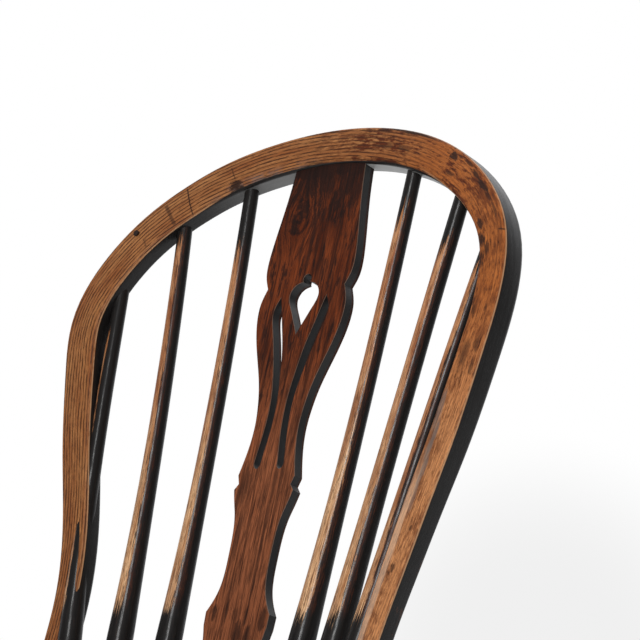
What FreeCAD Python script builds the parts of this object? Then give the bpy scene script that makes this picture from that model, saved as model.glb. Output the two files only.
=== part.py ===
# Hoop-back wooden side chair with a pierced splat, six spindles and splayed turned legs.
# Millimetres, +Z up, the chair faces -Y, the origin is on the floor under the middle of the
# bounding box. The back is laid out in its own raked frame: u to the chair's right as it is
# looked at from the front, v up along the slope, w out of the front of the back.
import FreeCAD
import Part
import math
import os

V3 = FreeCAD.Vector

# overall
SEAT_TOP = 437.0
SEAT_THICK = 38.0
RAKE_DEG = 16.56
BACK_BELOW = 310.0        # from the middle of the back's frame down the slope to the seat

BACK_ASIDE = 7.6          # the splat stands this far to the right of the seat's middle

# hoop: bent by hand to a horseshoe, a little fuller and further forward on its left
HOOP_LINE = [(-150, -318), (-150, -270), (-150.5, -230), (-155.5, -190), (-165.8, -147),
             (-178, -104), (-193.2, -37.7), (-197.8, 0.4), (-182, 48), (-154.6, 85.2),
             (-104.9, 120.1), (-51.8, 137.1), (0, 142.6), (52, 137.8), (105.2, 120.6),
             (155.1, 85.6), (180.6, 47.5), (185.8, 0.7), (180.8, -35.6), (168.6, -102.7),
             (159.2, -146.8), (151.4, -190), (144.6, -230), (140.6, -270), (139.5, -318)]
# its width and depth along its length, from -1 at the left foot to 1 at the right foot
HOOP_WIDTHS = [(-1, 18.5), (-0.85, 21.5), (-0.7, 25.5), (-0.55, 28.5), (-0.4, 30.4),
               (-0.25, 29.8), (-0.1, 28.4), (0, 28.2), (0.15, 28.6), (0.3, 26.4), (0.45, 22.6),
               (0.6, 23.4), (0.75, 21.8), (0.88, 18.8), (1, 18.0)]
HOOP_DEPTHS = [(-1, 17.5), (-0.8, 18.0), (-0.5, 18.0), (-0.34, 18.0), (-0.19, 19.8),
               (-0.08, 22.2), (0.05, 22.5), (0.3, 23.2), (0.45, 24.0), (0.6, 22.3), (0.8, 18.0),
               (1, 17.5)]
HOOP_OUTER_ROUND = 1.6
HOOP_INNER_ROUND = 4.0
HOOP_BACK_ROUND = 5.0
HOOP_CROWN_V = 156.4
HOOP_CURVE_AT = 250.0
HOOP_CURVE_ACROSS = 34.8  # how far it stands forward at that distance from the middle
HOOP_CURVE_DOWN = 7.0     # and at that distance below the crown
HOOP_LEFT_FORWARD = 5.0   # how much further forward the left side stands
HOOP_LEFT_FROM = 120.0
HOOP_LEFT_OVER = 80.0
HOOP_SECTIONS = 48
TENON_RADIUS = 8.3
TENON_UP = 12.0           # how far up into the foot of the hoop each tenon starts

# splat
SPLAT_THICK = 11.2
SPLAT_FOOT_THICK = 8.2
SPLAT_FRONT_W = -0.2
SPLAT_LEAN = -0.018
SPLAT_TOP_V = 132.0
SPLAT_LOW_V = -340.0
SPLAT_TENON_HALF = 21.0
SPLAT_TENON_DEEP = 22.0
SPLAT_TENON_THICK = 6.6
SPLAT_TENON_UP = 12.0
SPLAT_TONGUE_HALF = 27.0
SPLAT_TONGUE_THICK = 6.8
SPLAT_TONGUE_V = (108.0, 136.4)
SPLAT_HOLE_PAST = 4.0     # how far the cutters of its holes stand out of both faces

# spindles: u and v at the top, u at the seat, girth, and how far the middle bends in u and w
SPINDLE_IN_SEAT = 24.0
SPINDLES = {"left_inner": (-81.5, 130.0, -62.5, 1.0, 2.0, -4.0),
            "right_inner": (80.8, 130.0, 57.5, 1.0, 1.4, -2.8),
            "left_middle": (-138.6, 100.0, -99.5, 1.0, 2.2, -4.0),
            "right_middle": (136.2, 100.0, 94.0, 1.0, -1.2, 0.0),
            "left_outer": (-179.9, 40.0, -131.0, 0.93, -4.5, 0.0),
            "right_outer": (173.6, 56.0, 121.0, 0.93, -2.1, 0.0)}
SPINDLE_TOP_BACK = 10.2   # how far behind the face of the hoop they enter it
SPINDLE_SEAT_W = -2.6
SPINDLE_SEAT_CURVE = 17.4
SPINDLE_STEP = 16.0       # each runs straight over this much of its length
SPINDLE_PROFILE = [(-24, 7.4), (-12, 7.3), (0, 7.6), (20, 8.8), (45, 9.8), (62, 9.9), (88, 9.2),
                   (118, 8.4), (150, 7.7), (195, 7.05), (255, 6.55), (330, 6.15), (400, 5.8),
                   (455, 5.6)]

# seat
SEAT_HALF = [(0, -56), (66, -59), (122, -72), (158, -94), (180, -132), (193, -190),
             (199.5, -250), (199, -310), (191, -364), (170, -411), (132, -438), (70, -446),
             (0, -448)]
SEAT_ROUND = 7.0
SEAT_CHAMFER = 13.0
DISH_DEEP = 13.5
DISH_LIP = 1.6
DISH_BACK_Y = -128.0
DISH_FULL_Y = -235.0
DISH_FRONT_Y = -450.0
DISH_HALF_X = 186.0
DISH_SLOPE = 0.62         # the share of that half over which its sides rise
DISH_AT_FRONT = 0.42      # the share of its depth that is left at the front
DISH_GRID = 24.0
POMMEL_HIGH = 6.5
POMMEL_HALF_X = 34.0

# legs: place under the seat and on the floor for the left-hand one as seen from behind
LEG_FRONT = ((134.0, -380.0), (184.0, -440.0))
LEG_BACK = ((108.0, -132.0), (160.0, -44.0))
LEG_IN_SEAT = 26.0
LEG_PAST_FLOOR = 30.0

# stretchers
SIDE_FRONT_Z = 168.0
SIDE_BACK_Z = 152.0
SIDE_CROSS_AT = 0.47
SIDE_RADIUS = 13.2
CROSS_RADIUS = 12.6
STRETCHER_END_RADIUS = 7.4
STRETCHER_IN = 9.0
SWELL = [(0.10, 0.22), (0.22, 0.50), (0.36, 0.84), (0.5, 1.0), (0.64, 0.84), (0.78, 0.50),
         (0.90, 0.22), (1.0, 0.0)]

# small pieces
WEDGE_THICK = 3.0
WEDGE_THIN = 0.9
WEDGE_LONG = 20.0
WEDGE_PAST = 6.0          # cut off flush with the underside of the seat
WEDGE_SHARE = 0.94        # of the tenon's width
PEG_PLACE = (-171.5, 76.7)
PEG_RADIUS = 2.4
PEG_LONG = 9.0
PEG_PROUD = 0.25

RAKE = math.radians(RAKE_DEG)
AXIS_U = V3(1, 0, 0)
AXIS_V = V3(0, math.sin(RAKE), math.cos(RAKE))
AXIS_W = V3(0, -math.cos(RAKE), math.sin(RAKE))
BACK_ORIGIN = V3(BACK_ASIDE, 0, SEAT_TOP + BACK_BELOW * math.cos(RAKE))
SPLAT_UP = (AXIS_V + AXIS_W * SPLAT_LEAN).normalize()
SPLAT_OUT = AXIS_U.cross(SPLAT_UP).normalize()
BIG = 600.0
NEAR = 0.01


def back(u, v, w):
    """A point of the back's frame in the chair's frame."""
    return BACK_ORIGIN + AXIS_U * u + AXIS_V * v + AXIS_W * w


def smooth(t):
    """0 below 0, 1 above 1 and an S between."""
    t = min(max(t, 0.0), 1.0)
    return t * t * (3 - 2 * t)


def hoop_w(u, v):
    """Where the front of the hoop lies, out of the plane of the back."""
    down = (v - HOOP_CROWN_V) / HOOP_CURVE_AT
    left = HOOP_LEFT_FORWARD * smooth((-u - HOOP_LEFT_FROM) / HOOP_LEFT_OVER)
    return HOOP_CURVE_ACROSS * (u / HOOP_CURVE_AT) ** 2 + HOOP_CURVE_DOWN * down ** 2 + left


def fair(pairs):
    """A function whose smooth graph runs through (x, y) pairs."""
    xs, ys = [p[0] for p in pairs], [p[1] for p in pairs]
    count = len(xs)
    low, mid, high, right = [0.0] * count, [1.0] * count, [0.0] * count, [0.0] * count
    for i in range(1, count - 1):
        before, after = xs[i] - xs[i - 1], xs[i + 1] - xs[i]
        low[i], mid[i], high[i] = before, 2 * (before + after), after
        right[i] = 6 * ((ys[i + 1] - ys[i]) / after - (ys[i] - ys[i - 1]) / before)
    for i in range(1, count):
        share = low[i] / mid[i - 1]
        mid[i] -= share * high[i - 1]
        right[i] -= share * right[i - 1]
    bend = [0.0] * count
    for i in range(count - 2, -1, -1):
        bend[i] = (right[i] - high[i] * bend[i + 1]) / mid[i]

    def at(x):
        i = max(k for k in range(count - 1) if xs[k] <= x or k == 0)
        span = xs[i + 1] - xs[i]
        b = (x - xs[i]) / span
        a = 1 - b
        return (a * ys[i] + b * ys[i + 1]
                + ((a ** 3 - a) * bend[i] + (b ** 3 - b) * bend[i + 1]) * span ** 2 / 6)
    return at


def spline(points):
    curve = Part.BSplineCurve()
    curve.interpolate(Points=points)
    return curve


def halfspace(z, above):
    """A block that holds everything above or below a height."""
    low = V3(-BIG, -BIG, z if above else z - 2 * BIG)
    return Part.makeBox(2 * BIG, 2 * BIG, 2 * BIG, low)


def turned(edges_from, axis_from, axis_to):
    """A solid turned from a profile of (distance, radius) steps, laid from one point to another.
    Each step is ("line", s, r), ("arc", s mid, r mid, s, r) or ("curve", [(s, r), ...])."""
    start = edges_from[0]
    here = V3(start[1], 0, start[0])
    edges = [Part.makeLine(V3(0, 0, start[0]), here)]
    for step in edges_from[1:]:
        if step[0] == "line":
            there = V3(step[2], 0, step[1])
            edges.append(Part.makeLine(here, there))
        elif step[0] == "arc":
            there = V3(step[4], 0, step[3])
            edges.append(Part.Arc(here, V3(step[2], 0, step[1]), there).toShape())
        else:
            through = [here] + [V3(r, 0, s) for s, r in step[1]]
            there = through[-1]
            edges.append(spline(through).toShape())
        here = there
    edges.append(Part.makeLine(here, V3(0, 0, here.z)))
    edges.append(Part.makeLine(V3(0, 0, here.z), V3(0, 0, start[0])))
    solid = Part.Face(Part.Wire(edges)).revolve(V3(0, 0, 0), V3(0, 0, 1), 360)
    solid = Part.Solid(solid.Shells[0]) if solid.ShapeType != "Solid" else solid
    turn = FreeCAD.Rotation(V3(0, 0, 1), axis_to - axis_from)
    solid.Placement = FreeCAD.Placement(axis_from, turn)
    return solid


# hoop
def hoop_section(place, across, width, depth):
    """One rounded oblong across the hoop: crisp at the outer front, rounder elsewhere."""
    b = HOOP_BACK_ROUND
    h = width / 2

    def at(n, w):
        return place + across * n + AXIS_W * w

    def corner(n, w, dn, dw, r):
        bulge = r * (1 - math.sqrt(0.5))
        first = at(n - dn * r, w)
        last = at(n, w - dw * r)
        return first, at(n - dn * bulge, w - dw * bulge), last

    front_out = corner(h, 0, 1, 1, HOOP_OUTER_ROUND)
    back_out = corner(h, -depth, 1, -1, b)
    back_in = corner(-h, -depth, -1, -1, b)
    front_in = corner(-h, 0, -1, 1, HOOP_INNER_ROUND)
    arcs = [Part.Arc(*front_out).toShape(),
            Part.Arc(back_out[2], back_out[1], back_out[0]).toShape(),
            Part.Arc(*back_in).toShape(),
            Part.Arc(front_in[2], front_in[1], front_in[0]).toShape()]
    joins = [Part.makeLine(front_out[2], back_out[2]), Part.makeLine(back_out[0], back_in[0]),
             Part.makeLine(back_in[2], front_in[2]), Part.makeLine(front_in[0], front_out[0])]
    return Part.Wire([arcs[0], joins[0], arcs[1], joins[1], arcs[2], joins[2], arcs[3], joins[3]])


def make_hoop():
    line = spline([V3(u, v, 0) for u, v in HOOP_LINE])
    first, last = line.FirstParameter, line.LastParameter
    total = line.length()
    width_at, depth_at = fair(HOOP_WIDTHS), fair(HOOP_DEPTHS)
    wires = []
    for i in range(HOOP_SECTIONS + 1):
        run = total * i / HOOP_SECTIONS
        p = line.parameterAtDistance(run, first)
        p = min(max(p, first), last)
        here = line.value(p)
        along = line.tangent(p)[0]
        out = AXIS_U * along.y * -1 + AXIS_V * along.x
        place = back(here.x, here.y, hoop_w(here.x, here.y))
        x = 2 * run / total - 1
        wires.append(hoop_section(place, out, width_at(x), depth_at(x)))
    return Part.makeLoft(wires, True, False)


def hoop_foot_axis(side):
    """Where a foot of the hoop meets the seat and the way its tenon runs down."""
    u, v = HOOP_LINE[-1] if side > 0 else HOOP_LINE[0]
    mid = HOOP_DEPTHS[-1][1] / 2
    low = back(u, v, hoop_w(u, v) - mid)
    high = back(u, v + TENON_UP, hoop_w(u, v + TENON_UP) - mid)
    way = (low - high).normalize()
    return low - way * ((low.z - SEAT_TOP) / way.z), way


def make_hoop_tenon(side):
    top, way = hoop_foot_axis(side)
    start = top - way * TENON_UP
    body = Part.makeCylinder(TENON_RADIUS, TENON_UP + 2 * SEAT_THICK, start, way)
    return body.common(halfspace(SEAT_TOP - SEAT_THICK, True))


def make_wedge(side):
    """A wedge driven up into the foot of the hoop's tenon, its thick end under the seat."""
    top, way = hoop_foot_axis(side)
    end = top + way * (SEAT_THICK / abs(way.z))
    across = way.cross(AXIS_U).normalize()
    wide = TENON_RADIUS * WEDGE_SHARE
    thick, thin = WEDGE_THICK / 2, WEDGE_THIN / 2
    tip = end - way * WEDGE_LONG
    foot = end + way * WEDGE_PAST
    spread = thick + (thick - thin) * WEDGE_PAST / WEDGE_LONG
    corners = [tip - AXIS_U * thin, tip + AXIS_U * thin, foot + AXIS_U * spread,
               foot - AXIS_U * spread]
    corners = [c - across * wide for c in corners]
    face = Part.Face(Part.makePolygon(corners + [corners[0]]))
    solid = face.extrude(across * wide * 2)
    return solid.common(halfspace(SEAT_TOP - SEAT_THICK, True))


# splat
def splat_point(u, v, deep=0.0):
    """A point on the face of the splat, or some way behind it."""
    return back(u, v, SPLAT_FRONT_W + SPLAT_LEAN * v) - SPLAT_OUT * deep


def splat_edge(points, side):
    """One edge of an outline from (u, v) points: a line from two, an arc from three, or a curve."""
    laid = [splat_point(side * u, v) for u, v in points]
    if len(laid) == 2:
        return Part.makeLine(laid[0], laid[1])
    if len(laid) == 3:
        return Part.Arc(*laid).toShape()
    return spline(laid).toShape()


def splat_plate(outline, sides=(1, -1), past=0.0):
    """A plate as thick as the splat, or past both its faces, cut to the edges of an outline."""
    edges = [splat_edge(points, side) for points in outline for side in sides]
    face = Part.Face(Part.Wire(Part.__sortEdges__(edges)))
    face.translate(SPLAT_OUT * past)
    return face.extrude(SPLAT_OUT * -(SPLAT_THICK + 2 * past))


SPLAT_EDGE = [
    [(0, SPLAT_TOP_V), (33.6, SPLAT_TOP_V)],
    [(33.6, SPLAT_TOP_V), (36.0, 103), (39.0, 80), (41.6, 60), (42.4, 47), (41.4, 38),
     (37.4, 28.3)],
    [(37.4, 28.3), (39.2, 23.6), (41.3, 16.5), (41.8, 7), (39.0, -10), (32.5, -30),
     (25.8, -50), (22.2, -68), (21.1, -80), (22.4, -99), (27.0, -120.5)],
    [(27.0, -120.5), (24.8, -127.2)],
    [(24.8, -127.2), (28.2, -131.6)],
    [(28.2, -131.6), (25.9, -140), (22.7, -150), (20.6, -162), (19.9, -182), (20.2, -196),
     (21.7, -206), (25.2, -215.5), (30.2, -224.2)],
    [(30.2, -224.2), (29.8, -234)],
    [(29.8, -234), (27.2, -247), (25.6, -268), (26.2, -292), (28.0, -318)],
    [(28.0, -318), (28.0, SPLAT_LOW_V)],
    [(28.0, SPLAT_LOW_V), (0, SPLAT_LOW_V)],
]
LOBE_V = 34.6
LOBE_RADIUS = 4.1
TEARDROP = [(1.6, 32.6), (5.0, 31.9), (9.2, 30.2), (12.7, 26.6), (14.2, 21.9), (13.0, 16.0),
            (9.6, 9.2), (5.4, 0.8), (2.3, -5.4), (0, -10.4)]
SLOT_OUTER = [(22.3, 21.0), (25.6, 14.6), (27.1, 8.0), (26.0, 0.8), (23.1, -8.5),
              (20.1, -18.5), (15.0, -38.5), (11.6, -57.0), (10.8, -70.0), (11.7, -87.0),
              (13.6, -102.5), (14.6, -109.8)]
SLOT_FOOT = [(14.6, -109.8), (11.5, -115.4), (7.8, -110.6)]
SLOT_INNER = [(7.8, -110.6), (6.2, -98.0), (4.7, -84.0), (4.2, -71.0), (4.7, -58.5),
              (7.2, -38.5), (11.2, -17.5), (17.2, 4.0), (19.6, 13.0), (22.3, 21.0)]


def splat_holes():
    """The teardrop with the round lobe at its top, and the two long curved slots."""
    past = SPLAT_HOLE_PAST
    tear = splat_plate([TEARDROP, [(0, TEARDROP[0][1]), TEARDROP[0]]], past=past)
    lobe = Part.makeCylinder(LOBE_RADIUS, SPLAT_THICK + 2 * past, splat_point(0, LOBE_V, -past),
                             SPLAT_OUT * -1)
    slots = [splat_plate([SLOT_OUTER, SLOT_FOOT, SLOT_INNER], (side,), past) for side in (1, -1)]
    return [tear, lobe] + slots


def splat_bar(half, thick, low, high):
    """A flat bar in the middle of the board, up its length: its tenon or its tongue."""
    front = (SPLAT_FOOT_THICK - thick) / 2
    corners = [splat_point(u, low, deep) for u, deep in
               ((-half, front), (half, front), (half, front + thick), (-half, front + thick))]
    face = Part.Face(Part.makePolygon(corners + [corners[0]]))
    return face.extrude(SPLAT_UP * (high - low))


def make_splat(hoop):
    """The board, thinner behind towards its foot, with its tenon and its tongue in the hoop."""
    below = -BACK_BELOW - BIG / 10
    far = SPLAT_THICK * 4
    shaved = [splat_point(-BIG / 10, v, deep)
              for v, deep in ((SPLAT_TOP_V, SPLAT_THICK), (-BACK_BELOW, SPLAT_FOOT_THICK),
                              (below, SPLAT_FOOT_THICK), (below, far), (SPLAT_TOP_V, far))]
    behind = Part.Face(Part.makePolygon(shaved + [shaved[0]])).extrude(AXIS_U * (BIG / 5))
    plate = splat_plate(SPLAT_EDGE).common(halfspace(SEAT_TOP, True)).cut([hoop, behind])
    for hole in splat_holes():
        plate = plate.cut(hole)
    tenon = splat_bar(SPLAT_TENON_HALF, SPLAT_TENON_THICK, -BACK_BELOW - SPLAT_TENON_DEEP,
                      -BACK_BELOW + SPLAT_TENON_UP)
    tongue = splat_bar(SPLAT_TONGUE_HALF, SPLAT_TONGUE_THICK, *SPLAT_TONGUE_V)
    return plate.fuse([tenon, tongue]).removeSplitter()


# spindles
def make_spindle(name):
    """A round stick, swollen low down and slightly bent, with its ends let in."""
    top_u, top_v, seat_u, girth, bend_u, bend_w = SPINDLES[name]
    top = back(top_u, top_v, hoop_w(top_u, top_v) - SPINDLE_TOP_BACK)
    seat_w = SPINDLE_SEAT_W + SPINDLE_SEAT_CURVE * (seat_u / 100.0) ** 2
    seat = back(seat_u, -BACK_BELOW, seat_w)
    seat = seat + (top - seat) * ((SEAT_TOP - seat.z) / (top.z - seat.z))
    long = (top - seat).Length
    bend = AXIS_U * bend_u + AXIS_W * bend_w
    swell = fair([(s, r * girth) for s, r in SPINDLE_PROFILE if s < long - SPINDLE_STEP / 2]
                 + [(long, SPINDLE_PROFILE[-1][1] * girth)])

    def circle(s):
        t = max(s / long, 0.0)
        way = (top - seat) + bend * (4 * (1 - 2 * t))
        middle = seat + (top - seat) * t + bend * (4 * t * (1 - t))
        if s < 0:
            middle = middle + way * (s / long)
        ring = Part.makeCircle(swell(s))
        ring.Placement = FreeCAD.Placement(middle, FreeCAD.Rotation(AXIS_U, V3(), way, "ZXY"))
        return Part.Wire(ring)

    steps = round((long + SPINDLE_IN_SEAT) / SPINDLE_STEP)
    runs = [(long + SPINDLE_IN_SEAT) * i / steps - SPINDLE_IN_SEAT for i in range(steps + 1)]
    return Part.makeLoft([circle(s) for s in runs], True, True)


# seat
def make_seat():
    right = [V3(x, y, 0) for x, y in SEAT_HALF]
    left = [V3(-x, y, 0) for x, y in reversed(SEAT_HALF[1:-1])]
    line = Part.BSplineCurve()
    line.interpolate(Points=right + left, PeriodicFlag=True)
    face = Part.Face(Part.Wire([line.toShape()]))
    face.translate(V3(0, 0, SEAT_TOP - SEAT_THICK))
    blank = face.extrude(V3(0, 0, SEAT_THICK))
    top = [e for e in blank.Edges if abs(e.BoundBox.ZMin - SEAT_TOP) < NEAR]
    blank = blank.makeFillet(SEAT_ROUND, top)
    low = [e for e in blank.Edges if abs(e.BoundBox.ZMax - SEAT_TOP + SEAT_THICK) < NEAR]
    blank = blank.makeChamfer(SEAT_CHAMFER, low)
    return blank.cut(make_dish())


def dish_z(x, y):
    """Height of the hollowed top: two shallow thigh hollows with a low ridge at the front."""
    back_to = smooth((DISH_BACK_Y - y) / (DISH_BACK_Y - DISH_FULL_Y))
    front_to = smooth((y - DISH_FRONT_Y) / (DISH_FULL_Y - DISH_FRONT_Y))
    along = back_to * (DISH_AT_FRONT + (1 - DISH_AT_FRONT) * front_to)
    across = smooth((DISH_HALF_X - abs(x)) / (DISH_HALF_X * DISH_SLOPE))
    ridge = POMMEL_HIGH * math.exp(-(x / POMMEL_HALF_X) ** 2) * (1 - front_to)
    deep = (DISH_DEEP + DISH_LIP) * along * across - ridge
    return SEAT_TOP + DISH_LIP - deep


def make_dish():
    """Everything above the hollowed surface."""
    xs = [DISH_GRID * i for i in range(-10, 11)]
    ys = [DISH_FRONT_Y - 40 + DISH_GRID * i for i in range(20)]
    grid = [[V3(x, y, dish_z(x, y)) for y in ys] for x in xs]
    surface = Part.BSplineSurface()
    surface.interpolate(grid)
    return surface.toShape().extrude(V3(0, 0, BIG / 10))


# legs and stretchers
def leg_axis(leg, side):
    (tx, ty), (fx, fy) = leg
    return V3(side * tx, ty, SEAT_TOP - SEAT_THICK), V3(side * fx, fy, 0)


def make_leg(leg, side):
    """A splayed leg: plain taper, a ring, a vase, a second ring and a tapered foot."""
    top, foot = leg_axis(leg, side)
    long = (foot - top).Length
    rest = long - 300.0
    steps = [(-LEG_IN_SEAT, 11.6), ("line", 0, 12.2),
             ("curve", [(45, 14.2), (92, 16.9), (126, 17.9), (138, 17.4)]),
             ("line", 140, 15.4), ("arc", 145, 19.6, 150, 15.4), ("line", 152.5, 15.6),
             ("curve", [(162, 13.6), (176, 14.6), (200, 18.6), (220, 20.2), (242, 18.8),
                        (262, 15.6), (274, 14.3)]),
             ("line", 276, 14.3), ("arc", 281, 18.2, 286, 14.6), ("line", 288, 14.6),
             ("curve", [(300, 16.4), (300 + 0.18 * rest, 17.2), (300 + 0.45 * rest, 15.9),
                        (300 + rest, 12.6)]),
             ("line", long + LEG_PAST_FLOOR, 11.6)]
    return turned(steps, top, foot).common(halfspace(0.0, True))


def at_height(leg, side, z):
    top, foot = leg_axis(leg, side)
    return foot + (top - foot) * (z / top.z)


def swelled(first, last, end_radius, radius):
    """A stretcher between two points, thickest in the middle, ends let in by a set depth."""
    way = (last - first).normalize()
    start = first + way * STRETCHER_IN * -1
    long = (last - first).Length + 2 * STRETCHER_IN
    steps = [(0, end_radius),
             ("curve", [(long * t, end_radius + (radius - end_radius) * k) for t, k in SWELL])]
    return turned(steps, start, start + way * long)


def side_points(side):
    return at_height(LEG_FRONT, side, SIDE_FRONT_Z), at_height(LEG_BACK, side, SIDE_BACK_Z)


def make_side_stretcher(side):
    front, rear = side_points(side)
    return swelled(front, rear, STRETCHER_END_RADIUS, SIDE_RADIUS)


def make_cross_stretcher():
    front, rear = side_points(1)
    right = front + (rear - front) * SIDE_CROSS_AT
    left = V3(-right.x, right.y, right.z)
    return swelled(left, right, STRETCHER_END_RADIUS, CROSS_RADIUS)


# put together
def make_peg():
    u, v = PEG_PLACE
    w = hoop_w(u, v)
    return Part.makeCylinder(PEG_RADIUS, PEG_LONG, back(u, v, w + PEG_PROUD), AXIS_W * -1)


def build():
    whole_hoop = make_hoop()
    splat = make_splat(whole_hoop)
    tenons = [make_hoop_tenon(-1), make_hoop_tenon(1)]
    wedges = [make_wedge(-1), make_wedge(1)]
    peg = make_peg()
    spindles = {"spindle_" + name: make_spindle(name) for name in SPINDLES}
    hoop = whole_hoop.common(halfspace(SEAT_TOP, True)).fuse(tenons)
    hoop = hoop.cut(list(spindles.values()) + [splat, peg] + wedges)
    legs = {}
    for leg, where in ((LEG_FRONT, "front"), (LEG_BACK, "back")):
        for side, word in ((-1, "left"), (1, "right")):
            legs["leg_" + where + "_" + word] = make_leg(leg, side)
    sides = {"stretcher_left": make_side_stretcher(-1), "stretcher_right": make_side_stretcher(1)}
    cross = make_cross_stretcher()
    seat = make_seat()
    seat = seat.cut(tenons + list(spindles.values()) + list(legs.values()) + [splat])
    parts = {"seat": seat, "hoop": hoop, "splat": splat}
    parts.update(spindles)
    for name, leg in legs.items():
        parts[name] = leg.cut(list(sides.values()))
    for name, side in sides.items():
        parts[name] = side.cut(cross)
    parts["stretcher_cross"] = cross
    parts["wedge_left"] = wedges[0]
    parts["wedge_right"] = wedges[1]
    parts["hoop_peg"] = peg
    return parts


def centred(parts):
    """Move every piece so that the origin is under the middle of the whole."""
    boxes = [shape.optimalBoundingBox() for shape in parts.values()]
    low = min(box.YMin for box in boxes)
    high = max(box.YMax for box in boxes)
    shift = V3(0, -(low + high) / 2, 0)
    print("moved along Y by", round(shift.y, 4), "back origin z", round(BACK_ORIGIN.z, 4))
    return {name: shape.translated(shift) for name, shape in parts.items()}


def single(shape):
    """The one solid in a shape."""
    return shape.Solids[0] if len(shape.Solids) == 1 else shape


os.makedirs("parts", exist_ok=True)
for name, shape in centred(build()).items():
    solid = single(shape)
    box = solid.optimalBoundingBox()
    print(name, len(shape.Solids), solid.isValid(), round(solid.Volume / 1000, 1), "cm3",
          [round(v, 1) for v in (box.XMin, box.XMax, box.YMin, box.YMax, box.ZMin, box.ZMax)])
    solid.exportStep("parts/" + name + ".step")
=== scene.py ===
import math

import bpy
from mathutils import Matrix, Vector


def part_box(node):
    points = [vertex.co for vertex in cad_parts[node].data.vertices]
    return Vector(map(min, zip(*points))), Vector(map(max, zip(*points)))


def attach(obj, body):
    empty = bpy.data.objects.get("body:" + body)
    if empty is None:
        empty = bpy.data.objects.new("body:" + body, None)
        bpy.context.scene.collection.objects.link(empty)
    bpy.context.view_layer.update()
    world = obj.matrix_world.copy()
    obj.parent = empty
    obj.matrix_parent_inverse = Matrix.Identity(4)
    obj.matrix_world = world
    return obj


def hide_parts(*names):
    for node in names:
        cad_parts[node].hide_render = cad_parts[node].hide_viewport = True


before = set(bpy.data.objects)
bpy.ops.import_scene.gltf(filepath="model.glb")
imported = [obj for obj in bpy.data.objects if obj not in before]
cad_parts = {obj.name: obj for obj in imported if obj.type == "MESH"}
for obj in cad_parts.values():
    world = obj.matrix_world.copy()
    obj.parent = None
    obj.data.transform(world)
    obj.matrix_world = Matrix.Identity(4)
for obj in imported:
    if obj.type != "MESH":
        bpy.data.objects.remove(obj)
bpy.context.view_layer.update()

MM = 0.001

# the raked frame of the back, as in the chair's drawing: u across, v up the slope, w to the front
RAKE = math.radians(16.56)
BACK_MIDDLE = Vector((0.0076, 0.1938452, 0.7341418))
BACK_ACROSS = Vector((1, 0, 0))
BACK_UP = Vector((0, math.sin(RAKE), math.cos(RAKE)))
BACK_FRONT = Vector((0, -math.cos(RAKE), math.sin(RAKE)))
SEAT_TOP, SEAT_UNDER = 0.437, 0.399
BACK_BELOW = 310.0

# hoop, in millimetres of the back's frame: its line from the left foot to the right, and its
# width and depth along it, from -1 at the left foot to 1 at the right
HOOP_LINE = [(-150, -318), (-150, -270), (-150.5, -230), (-155.5, -190), (-165.8, -147),
             (-178, -104), (-193.2, -37.7), (-197.8, 0.4), (-182, 48), (-154.6, 85.2),
             (-104.9, 120.1), (-51.8, 137.1), (0, 142.6), (52, 137.8), (105.2, 120.6),
             (155.1, 85.6), (180.6, 47.5), (185.8, 0.7), (180.8, -35.6), (168.6, -102.7),
             (159.2, -146.8), (151.4, -190), (144.6, -230), (140.6, -270), (139.5, -318)]
HOOP_WIDTHS = [(-1, 18.5), (-0.85, 21.5), (-0.7, 25.5), (-0.55, 28.5), (-0.4, 30.4),
               (-0.25, 29.8), (-0.1, 28.4), (0, 28.2), (0.15, 28.6), (0.3, 26.4), (0.45, 22.6),
               (0.6, 23.4), (0.75, 21.8), (0.88, 18.8), (1, 18.0)]
HOOP_DEPTHS = [(-1, 17.5), (-0.8, 18.0), (-0.5, 18.0), (-0.34, 18.0), (-0.19, 19.8),
               (-0.08, 22.2), (0.05, 22.5), (0.3, 23.2), (0.45, 24.0), (0.6, 22.3), (0.8, 18.0),
               (1, 17.5)]
HOOP_OUTER_ROUND, HOOP_INNER_ROUND, HOOP_BACK_ROUND = 1.6, 4.0, 5.0
HOOP_CROWN_V, HOOP_CURVE_AT = 156.4, 250.0
HOOP_CURVE_ACROSS, HOOP_CURVE_DOWN = 34.8, 7.0
HOOP_LEFT_FORWARD, HOOP_LEFT_FROM, HOOP_LEFT_OVER = 5.0, 120.0, 80.0
HOOP_STEPS = 150

# its round feet in the seat, in millimetres, and in metres how far off their grain lies
TENON_RADIUS, TENON_SHORT, TENON_CHAMFER = 8.2, 0.2, 0.8
TENON_WAY_FROM = 12.0
TENON_GRAIN_AWAY, TENON_GRAIN_ASIDE = 0.6, 0.03

# splat, in the same millimetres: outlines from the top down, each point as how far to the
# right of the middle and how high, and the slot on the right
SPLAT_THICK, SPLAT_FOOT_THICK = 11.2, 8.2
SPLAT_FRONT = -0.2
SPLAT_LEAN = -0.018
SPLAT_TOP = 132.0
SPLAT_ARRIS = 0.6
SPLAT_RUNS = [
    [(33.6, 132), (36.0, 103), (39.0, 80), (41.6, 60), (42.4, 47), (41.4, 38), (37.4, 28.3)],
    [(37.4, 28.3), (39.2, 23.6), (41.3, 16.5), (41.8, 7), (39.0, -10), (32.5, -30),
     (25.8, -50), (22.2, -68), (21.1, -80), (22.4, -99), (27.0, -120.5)],
    [(27.0, -120.5), (24.8, -127.2)],
    [(24.8, -127.2), (28.2, -131.6)],
    [(28.2, -131.6), (25.9, -140), (22.7, -150), (20.6, -162), (19.9, -182), (20.2, -196),
     (21.7, -206), (25.2, -215.5), (30.2, -224.2)],
    [(30.2, -224.2), (29.8, -234)],
    [(29.8, -234), (27.2, -247), (25.6, -268), (26.2, -292), (28.0, -318)],
]
TEARDROP = [(1.6, 32.6), (5.0, 31.9), (9.2, 30.2), (12.7, 26.6), (14.2, 21.9), (13.0, 16.0),
            (9.6, 9.2), (5.4, 0.8), (2.3, -5.4), (0.05, -10.4)]
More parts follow.
